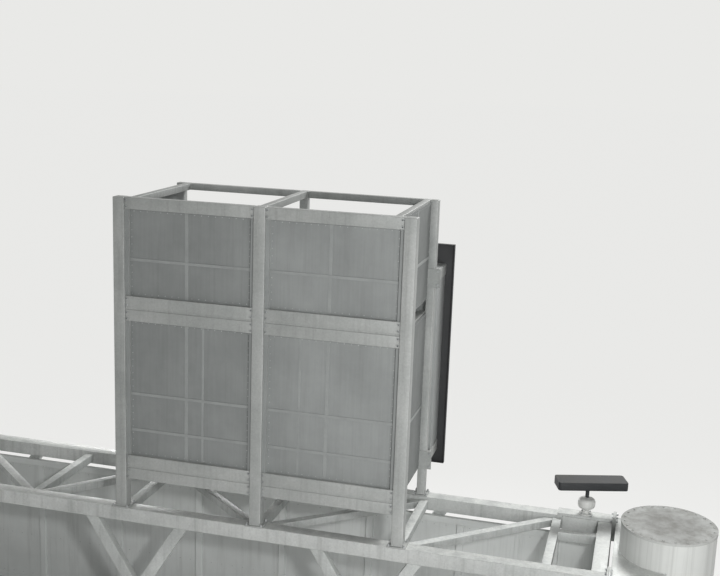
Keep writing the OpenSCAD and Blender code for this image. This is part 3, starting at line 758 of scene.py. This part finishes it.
# its top rail, foot strip, the upright joint strips of the end panels, and rivets
JOINT_IN, JOINT_HALF, RIVET_ROWS = 0.67, 0.045, (0.18, 1.05, 2.0)
joint = first_rib - JOINT_IN
boxes("cladding_rails", "cladding_sheet",
      [((c_low.x, face - 0.03, wall_top - RAIL_DEEP), (c_high.x, face + 0.05, wall_top)),
       ((c_low.x, face - 0.012, c_low.z), (c_high.x, face, c_low.z + SKIRT))]
      + [((s * joint - JOINT_HALF, face - 0.014, c_low.z + SKIRT),
          (s * joint + JOINT_HALF, face, wall_top - RAIL_DEEP)) for s in (-1, 1)], 0.004)
riveted("cladding_rivets",
        [[(c_low.x + 0.05, face + 0.002, z), (c_high.x - 0.05, face + 0.002, z)]
         for z in [c_low.z + row for row in RIVET_ROWS] + [wall_top - RAIL_DEEP - 0.05]],
        (0.0, -1.0, 0.0), pitch=0.22, width=0.022, rise=0.012)

# detector: a turned white body on a stalk, a dark neck under the bar; (radius, height) from its foot up
d_low, d_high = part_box("detector_post")
d_at = ((d_low.x + d_high.x) / 2, (d_low.y + d_high.y) / 2, d_low.z)
d_tall = d_high.z - d_low.z
BODY_R, BODY_HALF, BODY_MID = 0.155, 0.105, 0.205      # white body: radius, half height, height of its middle
BODY_TOP, FOOT_BOLT = BODY_MID + BODY_HALF, 0.07
body = [(BODY_R * abs(math.cos(a)) ** 0.55, BODY_MID + BODY_HALF * math.copysign(abs(math.sin(a)) ** 0.7, a))
        for a in [math.radians(-80 + 8 * i) for i in range(21)]]
stand = turned("detector_stand", "detector_white", d_at,
               [(0, 0.0), (0.118, 0.0), (0.118, 0.016), (0.114, 0.02), (0.062, 0.022), (0.052, 0.03),
                (0.048, 0.1)] + body + [(0.036, BODY_TOP + 0.006), (0, BODY_TOP + 0.006)])
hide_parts("detector_post")
turned("detector_neck", "detector_dark", d_at,
       [(0, BODY_TOP), (0.034, BODY_TOP), (0.034, d_tall - 0.05), (0.07, d_tall - 0.03), (0.07, d_tall),
        (0, d_tall)])
bolted("detector_foot_bolts",
       [((d_at[0] + i * FOOT_BOLT, d_at[1] + j * FOOT_BOLT, d_at[2] + 0.021), (0, 0, 1))
        for i in (-1, 1) for j in (-1, 1)], across=0.024, head=0.012, washer=0.036, stud=0.008)
eased("detector_slab", radius=0.012)

# cage

for name in cage_posts:
    eased(name, radius=0.009)
for name in ("face_frame_left", "face_frame_right", "cage_top", "side_frame_left", "side_frame_right",
             "far_sill", "sign_rails"):
    eased(name, radius=0.007)

FOOT_BOLT_IN = 0.03      # from the edge of a foot plate
foot_bolts = []
for name in cage_posts:
    c, (lo, hi) = centre(name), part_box(name)
    out = (hi.x - lo.x) / 2 - FOOT_BOLT_IN
    foot_bolts += [((c.x + dx, c.y + dy, lo.z + FOOT_TOP), (0, 0, 1))
                   for dx in (-out, out) for dy in (-out, out)]
bolted("post_foot_bolts", foot_bolts, across=0.036, head=0.02, washer=0.05, stud=0.02)

# face frames: bolts that hold their rails to the posts, a strip set back in the gap of each rail pair, and
# sheet edges lapped over the stiles beside the posts
RAIL, GAP, UPPER_PAIR, SET_BACK, STILE, STILE_BACK = 0.2, 0.035, 2.85, 0.016, 0.06, 0.03
PAIR = 2 * RAIL + GAP
RAIL_BOLT, WEB_BACK = 0.055, 0.09      # bolts from a rail's middle, depth of the web behind the gap
rail_bolts, gap_strips, laps = [], [], []
for side in SIDES:
    lo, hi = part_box(f"face_frame_{side}")
    pairs = (lo.z, lo.z + UPPER_PAIR)
    for z in [foot + rise for foot in pairs for rise in (RAIL / 2, PAIR - RAIL / 2)] + [hi.z - RAIL / 2]:
        for x in (lo.x + STILE / 2, hi.x - STILE / 2):
            rail_bolts += [((x, lo.y, z + dz), (0, -1, 0)) for dz in (-RAIL_BOLT, RAIL_BOLT)]
    # foot of a rail pair, and of the rail that ends the sheet above it
    for foot, end in zip(pairs, (lo.z + UPPER_PAIR, hi.z - RAIL)):
        z = foot + RAIL
        gap_strips.append(((lo.x, lo.y + SET_BACK, z - 0.001), (hi.x, lo.y + WEB_BACK, z + GAP + 0.001)))
        for x0, x1 in ((lo.x, lo.x + STILE + 0.003), (hi.x - STILE - 0.003, hi.x)):
            laps.append(((x0, lo.y + STILE_BACK - 0.004, foot + PAIR), (x1, lo.y + STILE_BACK + 0.006, end)))
bolted("rail_end_bolts", rail_bolts, across=0.03, head=0.014, washer=0.042, stud=0.006)
boxes("rail_gap_strips", "cage_steel", gap_strips, bevel=0.001)
boxes("panel_edge_laps", "panel_sheet", laps, bevel=0.001)

# cover strips over the sheet joints, and rivets round each sheet
RIVET_EDGE, LEVEL_HALF, UPRIGHT_HALF = 0.035, 0.025, 0.03      # rivets from the edge, half widths of strips
UPRIGHT_PROUD, LEVEL_PROUD, SIDE_PROUD, SUNK = 0.006, 0.009, 0.008, 0.002      # how far they stand off and in
JOINT_LEFT, LOWER_JOINT = 0.06, {"left": 0.3, "right": -0.48}      # upright joints, from the middle of a bay
LEVEL_JOINTS = {"upper": (0.42,), "lower": (0.19, 0.46)}      # level joints as shares of a panel's height
SHEET_END, SHEET_START = 0.09, 0.345      # of the side sheets, above the foot of the upper rail pair
LOWER_RISE, UPPER_RISE = 1.2, 1.1      # their level joints, above the foot of the sheets and of that pair
NARROW_HALF, NARROW_PROUD = 0.02, 0.005      # second upright strip of a lower panel
strips, runs, side_runs = [], [], {}
for side in SIDES:
    for level, shares in LEVEL_JOINTS.items():
        lo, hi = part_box(f"{level}_panel_{side}")
        mid = (lo.x + hi.x) / 2 - JOINT_LEFT
        strips.append(((mid - UPRIGHT_HALF, lo.y - UPRIGHT_PROUD, lo.z),
                       (mid + UPRIGHT_HALF, lo.y + SUNK, hi.z)))
        if level == "lower":
            x = mid + LOWER_JOINT[side]
            strips.append(((x - NARROW_HALF, lo.y - NARROW_PROUD, lo.z),
                           (x + NARROW_HALF, lo.y + SUNK, hi.z)))
        for share in shares:
            z = lo.z + share * (hi.z - lo.z)
            strips.append(((lo.x, lo.y - LEVEL_PROUD, z - LEVEL_HALF), (hi.x, lo.y + SUNK, z + LEVEL_HALF)))
        runs.append([(a, lo.y, b) for a, b in edge_run((lo.x, lo.z), (hi.x, hi.z), RIVET_EDGE)])
for side, s in (("left", -1), ("right", 1)):
    lo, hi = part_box(f"side_sheets_{side}")
    x, mid = hi.x if s > 0 else lo.x, (lo.y + hi.y) / 2
    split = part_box(f"face_frame_{side}")[0].z + UPPER_PAIR
    sheets = ((lo.z, split + SHEET_END), (split + SHEET_START, hi.z))
    thin, thick = sorted((x, x + s * UPRIGHT_PROUD)), sorted((x, x + s * SIDE_PROUD))
    strips += [((thin[0], mid - UPRIGHT_HALF, z0), (thin[1], mid + UPRIGHT_HALF, z1)) for z0, z1 in sheets]
    strips += [((thick[0], lo.y, z - LEVEL_HALF), (thick[1], hi.y, z + LEVEL_HALF))
               for z in (lo.z + LOWER_RISE, split + UPPER_RISE)]
    side_runs[side] = [[(x, a, b) for a, b in edge_run((lo.y, z0), (hi.y, z1), RIVET_EDGE)]
                       for z0, z1 in sheets]
boxes("panel_cover_strips", "panel_sheet", strips, bevel=0.002, finish=strip)
for side, s in (("left", -1), ("right", 1)):
    riveted(f"side_rivets_{side}", side_runs[side], (float(s), 0.0, 0.0))
riveted("panel_rivets", runs, (0.0, -1.0, 0.0))

# sign

e_low, e_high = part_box("sign_enclosure")
b_low, b_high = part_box("display_board")

# the display: seven by five square modules, each of eight by eight smoked lenses under thin louvre blades
PIXEL, PER_MODULE, ACROSS, TALL, SEAM = 0.083, 8, 7, 5, 0.012
BLADE_AT, BLADE_DEEP, BLADE = 0.86, 0.016, 0.004      # louvre blades: share of a pixel, depth, thickness
module = PIXEL * PER_MODULE
columns, rows = ACROSS * PER_MODULE, TALL * PER_MODULE
recess = b_high.y - 0.02
face_mid = Vector(((e_low.x + e_high.x) / 2, recess, (e_low.z + e_high.z) / 2))
matrix = grow("display_matrix", matrix_tree(), lens,
              place=Matrix.Translation(face_mid) @ Matrix.Rotation(-math.pi / 2, 4, "X"),
              Across=(columns - 1) * PIXEL, Tall=(rows - 1) * PIXEL, Columns=columns, Rows=rows, Width=0.05,
              Hood=0.016)
half_w, half_h = ACROSS * module / 2, TALL * module / 2
m_low = Vector((face_mid.x - half_w, recess - 0.001, face_mid.z - half_h))
m_high = Vector((face_mid.x + half_w, recess + 0.017, face_mid.z + half_h))
blade_feet = [m_low.z + (i + BLADE_AT) * PIXEL for i in range(rows)]
boxes("display_louvres", "sign_black",
      [((m_low.x, m_low.y, z), (m_high.x, recess + BLADE_DEEP, z + BLADE)) for z in blade_feet], bevel=0.001)
joints = [((m_low.x + k * module - SEAM, m_low.y, m_low.z),
           (m_low.x + k * module + SEAM, m_high.y + 0.0005, m_high.z)) for k in range(ACROSS + 1)]
joints += [((m_low.x, m_low.y, m_low.z + max(k * module - SEAM, 0)),
            (m_high.x, m_high.y, m_low.z + min(k * module + SEAM, TALL * module))) for k in range(TALL + 1)]
boxes("display_module_frames", "sign_black", joints, bevel=0.002, finish=module_black)

# folded edge behind the board, and upright stiffeners behind it above and below the case
FOLD, THIN, STIFFENERS, STIFF_HALF, STIFF_DEEP = 0.05, 0.012, 6, 0.02, 0.04
fold_y, lap_y = b_low.y - FOLD, b_low.y + 0.002
folds = [((b_low.x, fold_y, b_low.z), (b_low.x + THIN, lap_y, b_high.z)),
         ((b_high.x - THIN, fold_y, b_low.z), (b_high.x, lap_y, b_high.z)),
         ((b_low.x, fold_y, b_low.z), (b_high.x, lap_y, b_low.z + THIN)),
         ((b_low.x, fold_y, b_high.z - THIN), (b_high.x, lap_y, b_high.z))]
folds += [((x - STIFF_HALF, b_low.y - STIFF_DEEP, z0), (x + STIFF_HALF, lap_y, z1))
          for z0, z1 in ((b_low.z + THIN, e_low.z), (e_high.z, b_high.z - THIN))
          for x in [e_low.x + (k + 0.5) * (e_high.x - e_low.x) / STIFFENERS for k in range(STIFFENERS)]]
boxes("board_folds", "sign_black", folds)

# clamp plates that hold the sign rails to the far posts, four bolts each
s_low, s_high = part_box("sign_rails")
GRIP, CLAMP_THICK, CLAMP_HALF, BOLT_UP, BOLT_EDGE = 0.075, 0.016, 0.17, 0.12, 0.045
POST, WING = 0.15, 0.1      # a far post's section, how far the plates reach past it
clamp_plates, clamp_points = [], []
for name in far_posts:
    c, (lo, hi) = centre(name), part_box(name)
    wide = min(hi.x - lo.x, POST) / 2 + WING
    y = c.y - GRIP
    for z in (s_low.z + RAIL / 2, s_high.z - RAIL / 2):
        clamp_plates.append(((c.x - wide, y - CLAMP_THICK, z - CLAMP_HALF), (c.x + wide, y, z + CLAMP_HALF)))
        clamp_points += [((c.x + dx, y - CLAMP_THICK, z + dz), (0, -1, 0))
                         for dx in (-wide + BOLT_EDGE, wide - BOLT_EDGE) for dz in (-BOLT_UP, BOLT_UP)]
boxes("sign_rail_clamps", "cage_steel", clamp_plates)
bolted("sign_rail_clamp_bolts", clamp_points, across=0.03, head=0.016, washer=0.044,
       stud=0.012)

eased("sign_enclosure", radius=0.012)
eased("display_board", radius=0.004, steps=2)


def moved(box, *to):
    """a box given by two corners, moved"""
    return [tuple(c + t for c, t in zip(corner, to)) for corner in box]


# four doors on the back of the case, with seals, three hinges and a handle each; hinge and handle are boxes
# from the door's side, the case's back and their own middle
DOORS, MARGIN, SIDE_GAP, END_GAP, SEAL_OUT, HINGE_SHARES = 4, 0.05, 0.02, 0.1, 0.012, (0.15, 0.5, 0.85)
DOOR_THICK, SEAL_THICK = 0.022, 0.008
HINGE = ((0.012, -0.034, -0.07), (0.052, -0.01, 0.07))
HANDLE = ((-0.09, -0.05, -0.09), (-0.06, -0.02, 0.09))
back, mid_z = e_low.y, (e_low.z + e_high.z) / 2
wide = (e_high.x - e_low.x - 2 * MARGIN) / DOORS
doors, hinges, seals = [], [], []
for k in range(DOORS):
    x0 = e_low.x + MARGIN + k * wide
    x1 = x0 + wide
    doors.append(((x0 + SIDE_GAP, back - DOOR_THICK, e_low.z + END_GAP),
                  (x1 - SIDE_GAP, back + 0.002, e_high.z - END_GAP)))
    seals.append(((x0 + SIDE_GAP - SEAL_OUT, back - SEAL_THICK, e_low.z + END_GAP - SEAL_OUT),
                  (x1 - SIDE_GAP + SEAL_OUT, back + 0.001, e_high.z - END_GAP + SEAL_OUT)))
    hinges += [moved(HINGE, x0, back, e_low.z + share * (e_high.z - e_low.z)) for share in HINGE_SHARES]
    hinges.append(moved(HANDLE, x1, back, mid_z))
boxes("case_doors", "sign_case", doors, bevel=0.004)
boxes("case_door_seals", "sign_case", seals, bevel=0.002, finish=seal)
boxes("case_hinges_handles", "sign_case", hinges, bevel=0.004, finish=zinc)

# camera, light, floor

LENS_PIXELS, PICTURE_WIDE, SENSOR = 1112.0, 720, 36      # focal length in pixels of a picture 720 wide; mm
PITCH, YAW, ROLL = math.radians(12.005), math.radians(14.621), math.radians(2.035)
ahead = Vector((-math.sin(YAW) * math.cos(PITCH), math.cos(YAW) * math.cos(PITCH), -math.sin(PITCH)))
level = Vector((math.cos(YAW), math.sin(YAW), 0))
above = level.cross(ahead)
right = level * math.cos(ROLL) + above * math.sin(ROLL)
upward = above * math.cos(ROLL) - level * math.sin(ROLL)
eye = Vector((8.336, -18.369, 17.366))
camera_data = bpy.data.cameras.new("camera")
camera_data.sensor_width = SENSOR
camera_data.sensor_fit = "HORIZONTAL"
camera_data.lens = LENS_PIXELS / PICTURE_WIDE * SENSOR
camera_data.clip_end = 2000
camera = put("camera", camera_data)
camera.matrix_world = Matrix.Translation(eye) @ Matrix((right, upward, -ahead)).transposed().to_4x4()
bpy.context.scene.camera = camera


def lamp(name, spot, target, power, size):
    """a round lamp at a spot, turned to its target; watts and metres across"""
    data = bpy.data.lights.new(name, "AREA")
    data.shape = "DISK"
    data.size = size
    data.energy = power
    aim = (Vector(target) - Vector(spot)).to_track_quat("-Z", "Y")
    put(name, data).matrix_world = Matrix.Translation(spot) @ aim.to_matrix().to_4x4()


# the key stands just right of the camera and above it; a low one fills the girder from the right, a weak one
# lifts the right end, one from above and behind lights what faces up, one lights the side the sign faces, and
# one lights the left end along the girder
lamp("key", eye + right * 3.2 + upward * 1.2, (4, -0.5, 9.5), 1200, 1.2)
lamp("side", (11.0, -14.0, 12.0), (9, -1.0, 9), 560, 5)
lamp("near", (12.5, -9.0, 8.5), (6, -1.0, 9.5), 220, 4)
lamp("back", (9, 12, 24), (3, 0, 9), 2400, 6)
lamp("sign_side", (-9.0, 20.0, 11.0), (0, 1.0, 9), 1900, 6)
lamp("left_end", (-20.0, -1.5, 9.0), (-9, 0, 7), 520, 6)

WORLD_LIGHT = 0.18      # even light from all round
world = bpy.data.worlds.new("studio")
bpy.context.scene.world = world
world.use_nodes = True
w = world.node_tree
w.nodes.clear()
light = add(w, "ShaderNodeBackground", {"Color": to_linear("#FFFFFF"), "Strength": WORLD_LIGHT})
seen = add(w, "ShaderNodeBackground", {"Color": to_linear("#E9E9E7"), "Strength": 1.0})
ray = add(w, "ShaderNodeLightPath").outputs
shown = add(w, "ShaderNodeMath", {0: ray["Is Camera Ray"], 1: ray["Is Glossy Ray"]}, operation="MAXIMUM")
shown = add(w, "ShaderNodeMath", {0: shown.outputs[0], 1: ray["Is Transmission Ray"]}, operation="MAXIMUM")
mixed = add(w, "ShaderNodeMixShader", {0: shown.outputs[0], 1: light.outputs[0], 2: seen.outputs[0]})
add(w, "ShaderNodeOutputWorld", {"Surface": mixed.outputs[0]})

FLOOR_RADIUS = 400
FLOOR_TONE, HORIZON = 0.847, 0.812      # linear tones of the floor and of the background behind it
floor_share = (HORIZON - FLOOR_TONE * WORLD_LIGHT) / (1 - FLOOR_TONE * WORLD_LIGHT)
floor_mat = bpy.data.materials.new("pale_floor")
floor_mat.use_nodes = True
f = floor_mat.node_tree
f.nodes.clear()
matt = add(f, "ShaderNodeBsdfDiffuse", {"Color": to_linear("#EDEDEB")})
glow = add(f, "ShaderNodeEmission", {"Color": to_linear("#FFFFFD"), "Strength": 1.0})
ray = add(f, "ShaderNodeLightPath").outputs
shown = add(f, "ShaderNodeMath", {0: ray["Is Camera Ray"], 1: ray["Is Glossy Ray"]}, operation="MAXIMUM")
share = add(f, "ShaderNodeMath", {0: shown.outputs[0], 1: floor_share}, operation="MULTIPLY")
both = add(f, "ShaderNodeMixShader", {0: share.outputs[0], 1: matt.outputs[0], 2: glow.outputs[0]})
add(f, "ShaderNodeOutputMaterial", {"Surface": both.outputs[0]})
bm = bmesh.new()
bmesh.ops.create_circle(bm, cap_ends=True, segments=96, radius=FLOOR_RADIUS)
put("floor", mesh_from(bm, "floor", floor_mat))

bpy.context.scene.view_settings.view_transform = "Standard"

bpy.context.view_layer.update()
